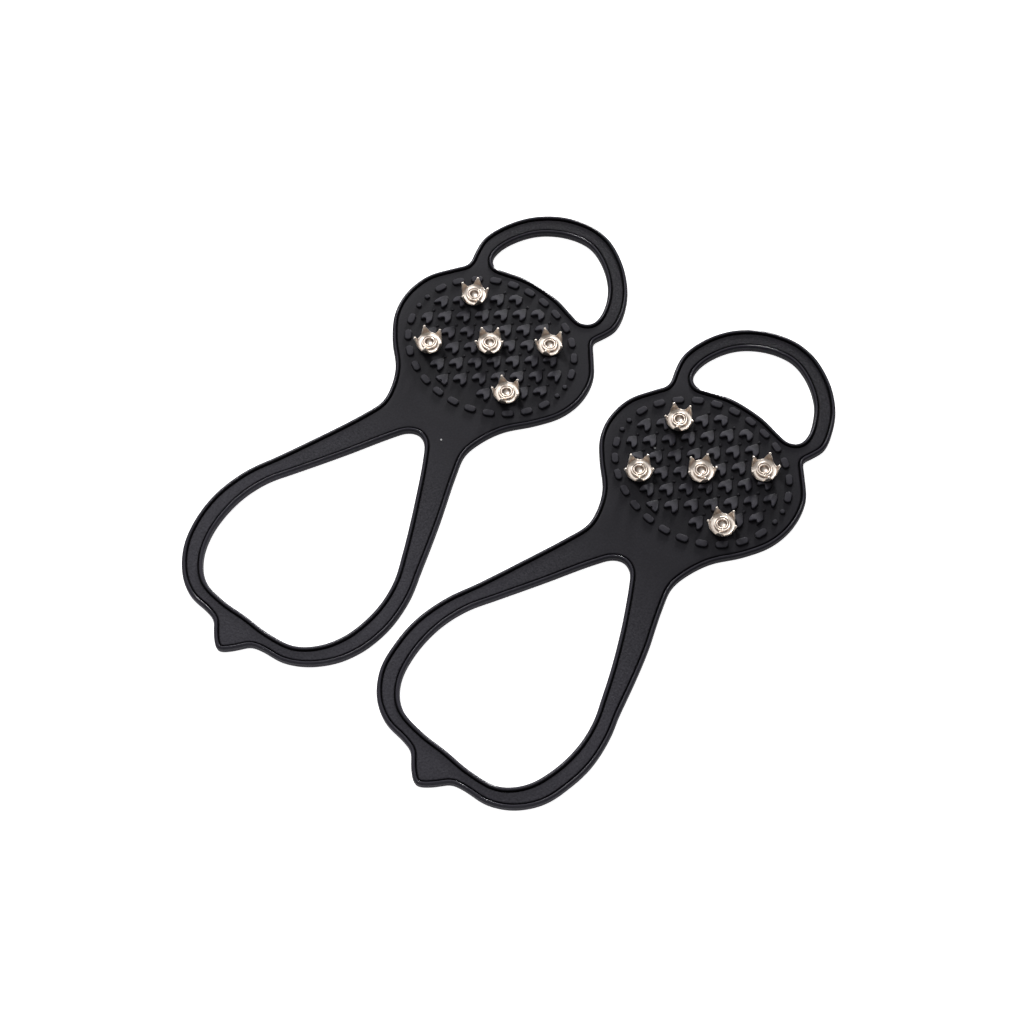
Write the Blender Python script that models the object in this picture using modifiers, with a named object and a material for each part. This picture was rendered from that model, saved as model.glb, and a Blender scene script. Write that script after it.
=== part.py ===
"""A pair of pull-on ice cleats, lying side by side with their studs up.

Each cleat is a rubber moulding: a tread plate under the ball of the foot, a toe loop in front
of it and a long heel loop with a pull tab behind it. The rubber flexes where the loops leave
the plate, so each moulding is three bodies that meet at two flex lines. Five star crowns stand
on the tread. Each is clamped by a rivet that passes through the rubber to a back washer, which
lies in a counterbore on the shoe side.

Units are metres, +Z is up, and +Y runs along the cleats towards the toe.
"""

import math

import bmesh
import bpy
import numpy as np
from mathutils import Matrix, Vector

GAP = 0.0003  # between pieces that touch on the real object

# The two cleats: where each lies, the small turn of its tread, and where the tread and the
# studs are centred. The bend is how the soft rubber happens to lie: the headings of its
# centreline in degrees clockwise, at the stations of BEND_Y. The spread is how much wider than
# its mould it lies at the same stations.
CLEATS = {
    "left": {
        "centre": (-0.0518, -0.0003),
        "tread_turn": math.radians(-2.0),
        "tread_centre": (-0.0003, -0.0011),
        "stud_centre": (-0.0012, -0.0008),
        "bend": (-1.5, 2.6, 2.6, 0.1, -1.1, -2.2, -1.1, 0.1, 5.4, 11.7),
        "spread": (0.954, 1.01, 1.026, 1.006, 0.998, 1.014, 1.017, 1.013, 1.005, 0.985),
    },
    "right": {
        "centre": (0.0539, 0.0027),
        "tread_turn": math.radians(-1.0),
        "tread_centre": (0.0004, -0.0006),
        "stud_centre": (0.0009, -0.0012),
        "bend": (2.7, 4.0, 5.7, 2.1, 2.9, 0.7, -2.7, -2.5, 5.7, 10.1),
        "spread": (1.046, 0.99, 0.974, 0.995, 1.002, 0.986, 0.983, 0.987, 0.995, 1.015),
    },
}
BEND_Y = (-0.176, -0.140, -0.105, -0.075, -0.050, -0.025, 0.0, 0.025, 0.050, 0.075)
BEND_STEPS = 250

# Rubber moulding, heights from the ground.
WEB_TOP = 0.0028
RIM_TOP = 0.0036
RIM_WIDTH = 0.0016
LUG_TOP = 0.0038
OUTLINE_STEP = 0.0047  # spacing of the points along an outline
TOE_FLEX_Y = 0.038  # where the toe loop's two legs leave the plate
HEEL_FLEX_Y = -0.0495  # across the neck behind the plate

# Right halves of the outlines, from the toe end to the heel end.
OUTER_HALF = (
    (0.0, 0.0739), (0.0042, 0.0737), (0.0111, 0.0718), (0.0205, 0.0669), (0.0293, 0.0585),
    (0.0348, 0.0483), (0.0368, 0.0390), (0.0349, 0.0314), (0.0333, 0.0265), (0.0370, 0.0212),
    (0.0438, 0.0112), (0.0458, -0.0008), (0.0433, -0.0118), (0.0365, -0.0220), (0.0277, -0.0319),
    (0.0233, -0.0412), (0.0218, -0.0495), (0.0246, -0.0592), (0.0326, -0.0797), (0.0400, -0.0997),
    (0.0449, -0.1127), (0.0472, -0.1270), (0.0458, -0.1405), (0.0420, -0.1513), (0.0343, -0.1605),
    (0.0251, -0.1655), (0.0150, -0.1667), (0.0099, -0.1681), (0.0074, -0.1709), (0.0043, -0.1742),
    (0.0, -0.1770),
)
HEEL_OPENING_HALF = (
    (0.0, -0.0528), (0.0045, -0.0547), (0.0085, -0.0604), (0.0192, -0.0797), (0.0297, -0.0996),
    (0.0352, -0.1112), (0.0378, -0.1240), (0.0366, -0.1391), (0.0321, -0.1501), (0.0243, -0.1573),
    (0.0121, -0.1595), (0.0, -0.1593),
)
TOE_OPENING_HALF = (
    (0.0, 0.0653), (0.0062, 0.0642), (0.0140, 0.0605), (0.0210, 0.0546), (0.0257, 0.0470),
    (0.0279, 0.0396), (0.0272, 0.0340), (0.0233, 0.0313), (0.0177, 0.0324), (0.0090, 0.0347),
    (0.0, 0.0353),
)

# Tread: a ring of dashes round a chequered field of forked lugs.
RING = (0.0377, 0.0312)  # semi-axes of the ring of dashes
RING_SPACING = 0.00807
DASHES_IN_QUARTER = 6
DOT_BACK = 0.0027  # a dot's distance along the ring from the cleat's side
DASH_HALF = ((0.0026, 0.0), (0.0017, 0.0015), (-0.0017, 0.0015))  # and the same turned half round
DOT_RADIUS = 0.0010
FIELD = (0.0337, 0.0275)  # semi-axes of the field that the lugs stay in
LUG_PITCH = (0.0062, 0.0101)
LUG_COLUMNS = 5
LUG_ROWS = 5
LUG_HALF = ((0.0, 0.0032), (0.0021, 0.0018), (0.0027, -0.0006), (0.0019, -0.0029), (0.0, -0.0013))
SUNK = 0.0005  # how deep the tread's shapes reach into the web that they grow from

# Studs: five star crowns, each on a rivet with a back washer.
STUD_GRID = {
    "front_left": (-0.0208, 0.0150),
    "front_right": (0.0208, 0.0150),
    "centre": (0.0, 0.0),
    "rear_left": (-0.0208, -0.0150),
    "rear_right": (0.0208, -0.0150),
}
CROWN_YAW_DEG = {
    "left": {"front_left": 39, "front_right": 3, "centre": 17, "rear_left": 3, "rear_right": 2},
    "right": {"front_left": 6, "front_right": 32, "centre": 30, "rear_left": 18, "rear_right": 5},
}
SHANK_RADIUS = 0.0022
BORE_RADIUS = SHANK_RADIUS + GAP
HEAD_BOTTOM, HEAD_THICKNESS, HEAD_RADIUS = 0.0002, 0.0005, 0.0038
WASHER_BOTTOM = HEAD_BOTTOM + HEAD_THICKNESS + GAP
WASHER_THICKNESS, WASHER_RADIUS = 0.0006, 0.0060
COUNTERBORE_TOP = WASHER_BOTTOM + WASHER_THICKNESS + GAP
COUNTERBORE_RADIUS = WASHER_RADIUS + GAP
CROWN_BOTTOM = WEB_TOP + GAP
CROWN_SHEET = 0.0009
CROWN_RADIUS = 0.0050
TOOTH_HEIGHT = 0.0043
TOOTH_LEAN = 0.0007  # how far the tips stand outside the disc
TOOTH_SHEET = 0.0010
TEETH = 5
NOTCH_HALF_WIDTHS = (0.0012, 0.0031)  # between two teeth, at the disc and at the tips
NOTCH_INNER_RADIUS = 0.0035
LAND_RADIUS = CROWN_RADIUS + 0.0009  # smooth rubber round each crown
RIM_BOTTOM = CROWN_BOTTOM + CROWN_SHEET + GAP
RIVET_RIM_THICKNESS, RIVET_RIM_RADIUS = 0.0007, 0.00365
DIMPLE_RADIUS, DIMPLE_DEPTH = 0.0024, 0.0010
CROWN_STEPS = 20
ROUND_STEPS = 12  # on the rivets, the washers and their bores


def clear_scene():
    for obj in list(bpy.data.objects):
        bpy.data.objects.remove(obj, do_unlink=True)


def new_collection(name):
    collection = bpy.data.collections.new(name)
    bpy.context.scene.collection.children.link(collection)
    return collection


def new_material(name, colour, roughness, metallic):
    material = bpy.data.materials.new(name)
    material.use_nodes = True
    shader = material.node_tree.nodes["Principled BSDF"]
    shader.inputs["Base Color"].default_value = (*colour, 1.0)
    shader.inputs["Roughness"].default_value = roughness
    shader.inputs["Metallic"].default_value = metallic
    return material


def add_object(name, mesh, collection, parent=None, location=(0, 0, 0), yaw=0.0):
    obj = bpy.data.objects.new(name, mesh)
    collection.objects.link(obj)
    obj.parent = parent
    obj.location = location
    obj.rotation_euler = (0, 0, yaw)
    return obj


def add_cutter(name, mesh, parent, location=(0, 0, 0)):
    obj = add_object(name, mesh, cutters, parent, location)
    obj.hide_render = True
    obj.display_type = "WIRE"
    return obj


def boolean(obj, operation, other):
    modifier = obj.modifiers.new(f"{operation.lower()} {other.name}", "BOOLEAN")
    modifier.operation = operation
    modifier.object = other


def evaluated_mesh(obj, name):
    """The object's mesh with its modifiers, or its curve as a mesh, with the caps welded on."""
    bpy.context.view_layer.update()
    graph = bpy.context.evaluated_depsgraph_get()
    mesh = bpy.data.meshes.new_from_object(obj.evaluated_get(graph), depsgraph=graph)
    mesh.name = name
    shape = bmesh.new()
    shape.from_mesh(mesh)
    bmesh.ops.remove_doubles(shape, verts=shape.verts, dist=1e-6)
    shape.to_mesh(mesh)
    shape.free()
    return mesh


def prism(name, loops, bottom, top):
    """Flat outlines filled and extruded from bottom to top. A loop inside another is a hole."""
    curve = bpy.data.curves.new(name, "CURVE")
    curve.dimensions = "2D"
    curve.fill_mode = "BOTH"
    curve.extrude = (top - bottom) / 2
    for loop in loops:
        spline = curve.splines.new("POLY")
        spline.points.add(len(loop) - 1)
        spline.use_cyclic_u = True
        for point, (x, y) in zip(spline.points, loop):
            point.co = (x, y, 0, 1)
    obj = add_object(name, curve, cutters)
    mesh = evaluated_mesh(obj, name)
    mesh.transform(Matrix.Translation((0, 0, (bottom + top) / 2)))
    bpy.data.objects.remove(obj)
    return mesh


def cylinder(radius, bottom, top):
    mesh = bpy.data.meshes.new("cylinder")
    shape = bmesh.new()
    bmesh.ops.create_cone(
        shape, cap_ends=True, segments=ROUND_STEPS, radius1=radius, radius2=radius,
        depth=top - bottom, matrix=Matrix.Translation((0, 0, (bottom + top) / 2)),
    )
    shape.to_mesh(mesh)
    shape.free()
    return mesh


def block(low, high):
    mesh = bpy.data.meshes.new("block")
    shape = bmesh.new()
    low, high = Vector(low), Vector(high)
    place = Matrix.Translation((low + high) / 2) @ Matrix.Diagonal((*(high - low), 1))
    bmesh.ops.create_cube(shape, size=1, matrix=place)
    shape.to_mesh(mesh)
    shape.free()
    return mesh


def turned(name, profile, closed, steps=ROUND_STEPS):
    """A profile of (radius, z), running down its outer side, turned round Z."""
    mesh = bpy.data.meshes.new(name)
    count = len(profile)
    edges = [(i, i + 1) for i in range(count - 1)] + ([(count - 1, 0)] if closed else [])
    mesh.from_pydata([(radius, 0, z) for radius, z in profile], edges, [])
    obj = add_object(name, mesh, cutters)
    screw = obj.modifiers.new("turn", "SCREW")
    screw.steps = screw.render_steps = steps
    screw.use_merge_vertices = True
    screw.merge_threshold = 0.0001
    solid = evaluated_mesh(obj, name)
    bpy.data.objects.remove(obj)
    return solid


def smooth_loop(half):
    """Closed loop through a right half outline and its mirror image, clockwise from above."""
    points = np.array(list(half) + [(-x, y) for x, y in reversed(half[1:-1])])
    before, after = np.roll(points, 1, axis=0), np.roll(points, -1, axis=0)
    reach = np.linalg.norm(after - points, axis=1)
    span = np.sqrt(reach)[:, None]  # the centripetal spacing, which never overshoots
    span_before = np.roll(span, 1, axis=0)
    slope = (points - before) / span_before + (after - points) / span
    slope -= (after - before) / (span_before + span)
    slope_after = np.roll(slope, -1, axis=0)
    loop = []
    for i in range(len(points)):
        count = max(1, round(reach[i] / OUTLINE_STEP))
        for t in np.arange(count) / count:
            loop.append(
                (2 * t**3 - 3 * t**2 + 1) * points[i]
                + (t**3 - 2 * t**2 + t) * span[i] * slope[i]
                + (3 * t**2 - 2 * t**3) * after[i]
                + (t**3 - t**2) * span[i] * slope_after[i]
            )
    return np.array(loop)


def moved_right(loop, distance):
    """The loop moved to the right of its direction: into it, for a clockwise one."""
    along = np.roll(loop, -1, axis=0) - np.roll(loop, 1, axis=0)
    along /= np.linalg.norm(along, axis=1)[:, None]
    return loop + distance * along[:, ::-1] * (1, -1)


def spread(loop, cleat):
    """The loop with its width eased along the cleat."""
    return loop * np.c_[np.interp(loop[:, 1], BEND_Y, cleat["spread"]), np.ones(len(loop))]


def bent(points, bend):
    """The moulding as it lies: its centreline follows the bend's headings, and its width turns with it."""
    station = np.linspace(2 * BEND_Y[0], 2 * BEND_Y[-1], BEND_STEPS)
    heading = np.radians(np.interp(station, BEND_Y, bend))
    middle, step = (heading[1:] + heading[:-1]) / 2, station[1] - station[0]
    across = np.concatenate([[0], np.cumsum(np.sin(middle))]) * step
    along = np.concatenate([[0], np.cumsum(np.cos(middle))]) * step
    across -= np.interp(0, station, across)
    along -= np.interp(0, station, along)
    x, y = np.asarray(points).T
    turn = np.interp(y, station, heading)
    return np.c_[
        np.interp(y, station, across) + x * np.cos(turn),
        np.interp(y, station, along) - x * np.sin(turn),
    ]


def turned_by(points, angle, centre=(0.0, 0.0)):
    c, s = math.cos(angle), math.sin(angle)
    return np.asarray(points) @ np.array([[c, s], [-s, c]]) + centre


def ring_places():
    """Places along a quarter of the ring from its front, as (x, y, angle of the tangent)."""
    turn = np.linspace(0, math.pi / 2, 400)
    x, y = RING[0] * np.sin(turn), RING[1] * np.cos(turn)
    length = np.concatenate([[0], np.cumsum(np.hypot(np.diff(x), np.diff(y)))])
    places = []
    for k in range(DASHES_IN_QUARTER + 1):
        along = (k + 0.5) * RING_SPACING if k < DASHES_IN_QUARTER else length[-1] - DOT_BACK
        at = np.interp(along, length, turn)
        tangent = math.atan2(-RING[1] * math.sin(at), RING[0] * math.cos(at))
        places.append((RING[0] * math.sin(at), RING[1] * math.cos(at), tangent))
    return places


def ring_loops():
    dash = np.array(DASH_HALF + tuple((-x, -y) for x, y in DASH_HALF))
    dot = np.array([(DOT_RADIUS * math.cos(a), DOT_RADIUS * math.sin(a)) for a in np.arange(6) * math.pi / 3])
    loops = []
    for k, (x, y, tangent) in enumerate(ring_places()):
        for mirror_x, mirror_y in ((1, 1), (1, -1), (-1, 1), (-1, -1)):
            shape = dot if k == DASHES_IN_QUARTER else dash
            loops.append(turned_by(shape, tangent * mirror_x * mirror_y, (x * mirror_x, y * mirror_y)))
    return loops


def lug_loops():
    """Forked lugs on a chequered grid, cut back where they would leave the field."""
    lug = np.array(LUG_HALF + tuple((-x, y) for x, y in reversed(LUG_HALF[1:-1])))
    studs = np.array(list(STUD_GRID.values()))
    loops = []
    for column in range(-LUG_COLUMNS, LUG_COLUMNS + 1):
        for row in range(-LUG_ROWS, LUG_ROWS + 1):
            if (column + row) % 2:
                continue
            centre = np.array([column * LUG_PITCH[0], row * LUG_PITCH[1] / 2])
            under_a_stud = np.linalg.norm(studs - centre, axis=1).min() < CROWN_RADIUS
            if np.linalg.norm(centre / FIELD) > 1 or under_a_stud or (column, row) == (1, -LUG_ROWS):
                continue
            loop = lug + centre
            beyond = np.linalg.norm(loop / FIELD, axis=1)
            loops.append(loop / np.maximum(1, beyond)[:, None])
    return loops


def crown_mesh():
    """A star crown: a turned cup on a pierced disc, notched so that its wall leaves the teeth."""
    top = CROWN_BOTTOM + CROWN_SHEET + TOOTH_HEIGHT
    floor = CROWN_BOTTOM + CROWN_SHEET
    profile = (
        (CROWN_RADIUS + TOOTH_LEAN, top), (CROWN_RADIUS, CROWN_BOTTOM), (BORE_RADIUS, CROWN_BOTTOM),
        (BORE_RADIUS, floor), (CROWN_RADIUS - TOOTH_SHEET, floor),
        (CROWN_RADIUS + TOOTH_LEAN - TOOTH_SHEET * 0.7, top),
    )
    cup = add_object("crown cup", turned("crown cup", profile, True, CROWN_STEPS), cutters)
    low, high = NOTCH_HALF_WIDTHS
    notch = ((-low, floor), (low, floor), (high, top + SUNK), (-high, top + SUNK))
    mesh = prism("crown notch", [notch], NOTCH_INNER_RADIUS, 2 * CROWN_RADIUS)
    # The notch's width and height become Y and Z, and it reaches outwards along X.
    mesh.transform(Matrix(((0, 0, 1, 0), (1, 0, 0, 0), (0, 1, 0, 0), (0, 0, 0, 1))))
    notches = []
    for k in range(TEETH):
        cutter = add_cutter(f"crown notch {k}", mesh, None)
        cutter.rotation_euler = (0, 0, 2 * math.pi * (k + 0.5) / TEETH)
        notches.append(cutter)
        boolean(cup, "DIFFERENCE", cutter)
    crown = evaluated_mesh(cup, "crown")
    for obj in [cup, *notches]:
        bpy.data.objects.remove(obj)
    return crown


def rivet_mesh():
    """A rivet from its head on the shoe side to its rolled rim on the crown, dimpled on top."""
    top = RIM_BOTTOM + RIVET_RIM_THICKNESS
    profile = (
        (0.0, top - DIMPLE_DEPTH), (DIMPLE_RADIUS, top), (RIVET_RIM_RADIUS, top - 0.0002),
        (RIVET_RIM_RADIUS, RIM_BOTTOM), (SHANK_RADIUS, RIM_BOTTOM),
        (SHANK_RADIUS, HEAD_BOTTOM + HEAD_THICKNESS), (HEAD_RADIUS, HEAD_BOTTOM + HEAD_THICKNESS),
        (HEAD_RADIUS, HEAD_BOTTOM), (0.0, HEAD_BOTTOM),
    )
    return turned("rivet", profile, closed=False)


def washer_mesh():
    top = WASHER_BOTTOM + WASHER_THICKNESS
    profile = (
        (WASHER_RADIUS, top), (WASHER_RADIUS, WASHER_BOTTOM),
        (BORE_RADIUS, WASHER_BOTTOM), (BORE_RADIUS, top),
    )
    return turned("washer", profile, closed=True)


def dressed(obj, material):
    obj.data.materials.clear()
    obj.data.materials.append(material)
    obj.data.shade_smooth()
    obj.data.set_sharp_from_angle(angle=math.radians(30))
    return obj


def add_moulding(side, cleat, origin, studs):
    """The rubber of one cleat as three bodies that meet at the flex lines."""
    outer, heel_opening, toe_opening = (
        spread(smooth_loop(half), cleat)
        for half in (OUTER_HALF, HEEL_OPENING_HALF, TOE_OPENING_HALF)
    )
    edges = [bent(loop, cleat["bend"]) for loop in (outer, heel_opening, toe_opening)]
    insets = [
        bent(moved_right(loop, width), cleat["bend"])
        for loop, width in ((outer, RIM_WIDTH), (heel_opening, -RIM_WIDTH), (toe_opening, -RIM_WIDTH))
    ]
    blank = prism(f"{side} blank", edges, 0, RIM_TOP)
    pocket = add_cutter(f"{side} pocket", prism(f"{side} pocket", insets, WEB_TOP, 2 * RIM_TOP), origin)
    tread = [
        bent(turned_by(loop, cleat["tread_turn"], cleat["tread_centre"]), cleat["bend"])
        for loop in lug_loops() + ring_loops()
    ]
    lugs = add_cutter(f"{side} lugs", prism(f"{side} lugs", tread, WEB_TOP - SUNK, LUG_TOP), origin)
    reach = 0.3  # beyond the moulding in every direction
    pieces = {
        "toe_loop": (TOE_FLEX_Y + GAP / 2, reach),
        "tread_plate": (HEEL_FLEX_Y + GAP / 2, TOE_FLEX_Y - GAP / 2),
        "heel_loop": (-reach, HEEL_FLEX_Y - GAP / 2),
    }
    axes = {"toe_loop": TOE_FLEX_Y, "tread_plate": 0, "heel_loop": HEEL_FLEX_Y}
    for name, (y_low, y_high) in pieces.items():
        pivot = Vector((0, axes[name], RIM_TOP if axes[name] else 0))
        mesh = blank.copy()
        mesh.transform(Matrix.Translation(-pivot))
        piece = add_object(f"{side}_{name}", mesh, parts, origin, pivot)
        region = block((-reach, y_low, -reach), (reach, y_high, reach))
        boolean(piece, "INTERSECT", add_cutter(f"{side} {name} region", region, origin))
        boolean(piece, "DIFFERENCE", pocket)
        if name == "tread_plate":
            boolean(piece, "UNION", lugs)
            for place, at in studs.items():
                cuts = {
                    "land": cylinder(LAND_RADIUS, WEB_TOP, 2 * RIM_TOP),
                    "bore": cylinder(BORE_RADIUS, -SUNK, 2 * RIM_TOP),
                    "counterbore": cylinder(COUNTERBORE_RADIUS, -SUNK, COUNTERBORE_TOP),
                }
                for cut, shape in cuts.items():
                    boolean(piece, "DIFFERENCE", add_cutter(f"{side} {place} {cut}", shape, origin, at))
        dressed(piece, rubber)


def add_cleat(side, cleat, shift, stud_meshes):
    origin = add_object(f"{side}_cleat", None, parts, None, Vector((*cleat["centre"], 0)) + shift)
    grid = turned_by(list(STUD_GRID.values()), cleat["tread_turn"], cleat["stud_centre"])
    studs = {place: (x, y, 0) for place, (x, y) in zip(STUD_GRID, bent(grid, cleat["bend"]))}
    add_moulding(side, cleat, origin, studs)
    for place, at in studs.items():
        for kind, (mesh, material) in stud_meshes.items():
            yaw = math.radians(CROWN_YAW_DEG[side][place]) if kind == "crown" else 0
            dressed(add_object(f"{side}_stud_{place}_{kind}", mesh, parts, origin, at, yaw), material)


def shift_to_middle():
    """The move that puts the middle of the pair's bounding box over the origin."""
    loops = [
        bent(spread(smooth_loop(OUTER_HALF), cleat), cleat["bend"]) + cleat["centre"]
        for cleat in CLEATS.values()
    ]
    points = np.concatenate(loops)
    middle = (points.min(axis=0) + points.max(axis=0)) / 2
    return Vector((-middle[0], -middle[1], 0))


clear_scene()
parts = new_collection("ice_cleats")
cutters = new_collection("cutters")
rubber = new_material("black rubber", (0.022, 0.022, 0.026), 0.6, 0.0)
stud_meshes = {
    "crown": (crown_mesh(), new_material("nickel plated steel", (0.80, 0.72, 0.66), 0.28, 1.0)),
    "rivet": (rivet_mesh(), new_material("bright rivet steel", (0.76, 0.70, 0.66), 0.25, 1.0)),
    "washer": (washer_mesh(), new_material("zinc plated steel", (0.62, 0.62, 0.63), 0.35, 1.0)),
}
shift = shift_to_middle()
for side, cleat in CLEATS.items():
    add_cleat(side, cleat, shift, stud_meshes)
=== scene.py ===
"""Looks for a pair of rubber ice cleats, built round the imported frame. Units are metres, +Z is up."""

import math

import bmesh
import bpy
import numpy as np
from mathutils import Matrix, Vector
from mathutils.geometry import delaunay_2d_cdt


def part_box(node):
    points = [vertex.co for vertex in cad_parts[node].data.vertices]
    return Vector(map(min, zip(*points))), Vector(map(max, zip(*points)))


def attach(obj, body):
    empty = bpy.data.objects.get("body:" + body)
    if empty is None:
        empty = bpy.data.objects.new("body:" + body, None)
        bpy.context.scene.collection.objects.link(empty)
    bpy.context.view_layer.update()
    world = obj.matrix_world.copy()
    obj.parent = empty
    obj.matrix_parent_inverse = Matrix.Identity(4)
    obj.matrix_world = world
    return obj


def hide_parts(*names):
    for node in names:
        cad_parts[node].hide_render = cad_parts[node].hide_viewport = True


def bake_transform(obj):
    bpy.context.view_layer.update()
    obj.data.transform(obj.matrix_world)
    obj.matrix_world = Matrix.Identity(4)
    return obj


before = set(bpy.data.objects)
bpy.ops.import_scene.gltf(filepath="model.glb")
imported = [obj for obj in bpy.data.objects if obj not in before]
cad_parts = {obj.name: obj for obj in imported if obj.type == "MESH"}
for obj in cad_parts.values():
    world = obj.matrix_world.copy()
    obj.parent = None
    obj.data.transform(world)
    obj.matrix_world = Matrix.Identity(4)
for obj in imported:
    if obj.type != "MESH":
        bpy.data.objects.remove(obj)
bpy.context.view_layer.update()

# ---------------------------------------------------------------------------------------------
# The moulding's plan, before it is bent: right halves of its outlines, toe end to heel end.

OUTER_HALF = (
    (0.0, 0.0739), (0.0042, 0.0737), (0.0111, 0.0718), (0.0205, 0.0669), (0.0293, 0.0585),
    (0.0348, 0.0483), (0.0368, 0.0390), (0.0349, 0.0314), (0.0333, 0.0265), (0.0370, 0.0212),
    (0.0438, 0.0112), (0.0458, -0.0008), (0.0433, -0.0118), (0.0365, -0.0220), (0.0277, -0.0319),
    (0.0233, -0.0412), (0.0218, -0.0495), (0.0246, -0.0592), (0.0326, -0.0797), (0.0400, -0.0997),
    (0.0449, -0.1127), (0.0472, -0.1270), (0.0458, -0.1405), (0.0420, -0.1513), (0.0343, -0.1605),
    (0.0251, -0.1655), (0.0150, -0.1667), (0.0099, -0.1681), (0.0074, -0.1709), (0.0043, -0.1742),
    (0.0, -0.1770),
)
HEEL_OPENING_HALF = (
    (0.0, -0.0528), (0.0045, -0.0547), (0.0085, -0.0604), (0.0192, -0.0797), (0.0297, -0.0996),
    (0.0352, -0.1112), (0.0378, -0.1240), (0.0366, -0.1391), (0.0321, -0.1501), (0.0243, -0.1573),
    (0.0121, -0.1595), (0.0, -0.1593),
)
TOE_OPENING_HALF = (
    (0.0, 0.0653), (0.0062, 0.0642), (0.0140, 0.0605), (0.0210, 0.0546), (0.0257, 0.0470),
    (0.0279, 0.0396), (0.0272, 0.0340), (0.0233, 0.0313), (0.0177, 0.0324), (0.0090, 0.0347),
    (0.0, 0.0353),
)
OUTLINE_STEP = 0.0011  # spacing of the points along an outline

# How each cleat lies: its centreline's heading in degrees and its width factor at the stations BEND_Y, and
# the turn and the places of its tread and studs. yaw is each crown's own angle in degrees.
BEND_Y = (-0.176, -0.140, -0.105, -0.075, -0.050, -0.025, 0.0, 0.025, 0.050, 0.075)
CLEATS = {
    "left": {
        "tread_turn": math.radians(-2.0),
        "tread_centre": (-0.0003, -0.0011), "stud_centre": (-0.0012, -0.0008),
        "bend": (-1.5, 2.6, 2.6, 0.1, -1.1, -2.2, -1.1, 0.1, 5.4, 11.7),
        "spread": (0.954, 1.01, 1.026, 1.006, 0.998, 1.014, 1.017, 1.013, 1.005, 0.985),
        "yaw": {"front_left": 39, "front_right": 3, "centre": 17, "rear_left": 3, "rear_right": 2},
    },
    "right": {
        "tread_turn": math.radians(-1.0),
        "tread_centre": (0.0004, -0.0006), "stud_centre": (0.0009, -0.0012),
        "bend": (2.7, 4.0, 5.7, 2.1, 2.9, 0.7, -2.7, -2.5, 5.7, 10.1),
        "spread": (1.046, 0.99, 0.974, 0.995, 1.002, 0.986, 0.983, 0.987, 0.995, 1.015),
        "yaw": {"front_left": 6, "front_right": 32, "centre": 30, "rear_left": 18, "rear_right": 5},
    },
}
STUD_GRID = {
    "front_left": (-0.0208, 0.0150), "front_right": (0.0208, 0.0150), "centre": (0.0, 0.0),
    "rear_left": (-0.0208, -0.0150), "rear_right": (0.0208, -0.0150),
}
RING = (0.0377, 0.0312)  # semi-axes of the ring of dashes
RING_SPACING, DASHES = 0.00807, 6  # in each quarter of the ring
DOT_BACK, DOT_RADIUS = 0.0027, 0.00105  # the dots beside the two ends of the ring's long axis
FIELD = (0.0337, 0.0275)  # semi-axes of the field that the lugs stay in
LUG_PITCH, LUG_COLUMNS, LUG_ROWS = (0.0062, 0.0101), 5, 5
WEB = 0.0028
LAND = 0.0058  # radius of the smooth rubber round each stud
LUG_CLEAR = 0.0050  # a lug whose centre is nearer to a stud's than this is left out
LUG_HEIGHT, DASH_HEIGHT, NUB_HEIGHT = 0.00128, 0.00095, 0.00045
LUG_TIP_SHARE, LUG_RAMP_START = 0.22, -0.0012  # the tip's share of a lug's height, and where its ramp starts
WELL_RADIUS, WELL_TOP_SHARE, WELL_TOP = 0.0063, 0.98, 0.0019  # the tapered well under each stud
WEB_GRID_STEP, UNDERSIDE_GRID_STEP = 0.0024, 0.0030
TOE_CUT_Y, TOE_FLEX_Y, HEEL_FLEX_Y = 0.036, 0.038, -0.0495

# Section of the edge as (inset, height, tone): underside, wall with its parting line, bead, groove, web. The
# tone paints a highlight on the bead's crest and shade in the groove.
EDGE = (
    (0.00240, 0.0, 0.5), (0.00090, 0.0, 0.5), (0.00045, 0.00006, 0.5), (0.00015, 0.00025, 0.5),
    (0.00002, 0.00060, 0.5), (0.0, 0.00120, 0.5), (0.0, 0.00152, 0.5), (-0.00010, 0.00164, 0.5),
    (-0.00010, 0.00172, 0.5), (0.0, 0.00184, 0.5), (0.00001, 0.00245, 0.5), (0.00006, 0.00288, 0.5),
    (0.00018, 0.00314, 0.5), (0.00036, 0.00330, 0.5), (0.00042, 0.00333, 0.6), (0.00078, 0.00352, 0.9),
    (0.00084, 0.00355, 1.0), (0.00106, 0.00359, 1.0), (0.00128, 0.00352, 0.7), (0.00146, 0.00330, 0.4),
    (0.00156, 0.00292, 0.2), (0.00164, 0.00240, 0.0), (0.00172, 0.00205, 0.0), (0.00190, 0.00203, 0.0),
    (0.00200, 0.00235, 0.0), (0.00209, 0.00264, 0.2), (0.00228, 0.00277, 0.4), (0.00265, WEB, 0.5),
)
BEAD_RISE = 0.0006  # the height above the web over which the bead's satin finish comes in

# Tones run from 0, darkest, to 1, palest. MID_TONE is the loops' and the plate's; the others paint light and
# shade.
MID_TONE, PAINTED_TREAD_SHADE, PAINTED_FOOT_SHADE = 0.5, 0.25, 0.05  # the last two are painted shade, over the tread's web and darkest at the foot of the lugs
PAINTED_HEEL_LIGHT, HEEL_SHADE_Y = 0.92, (-0.110, -0.045)  # painted light: the heel loop is a little paler
TREAD_EDGE = (0.95, 1.20)  # where the tread's painted shade ends, as shares of the ring
GRAIN_Y = (-0.075, -0.055, 0.036, 0.048)  # the loops are pebbled, the plate is smooth
PLATE_GRAIN, BEAD_SMOOTHING = 0.25, 0.92


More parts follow.
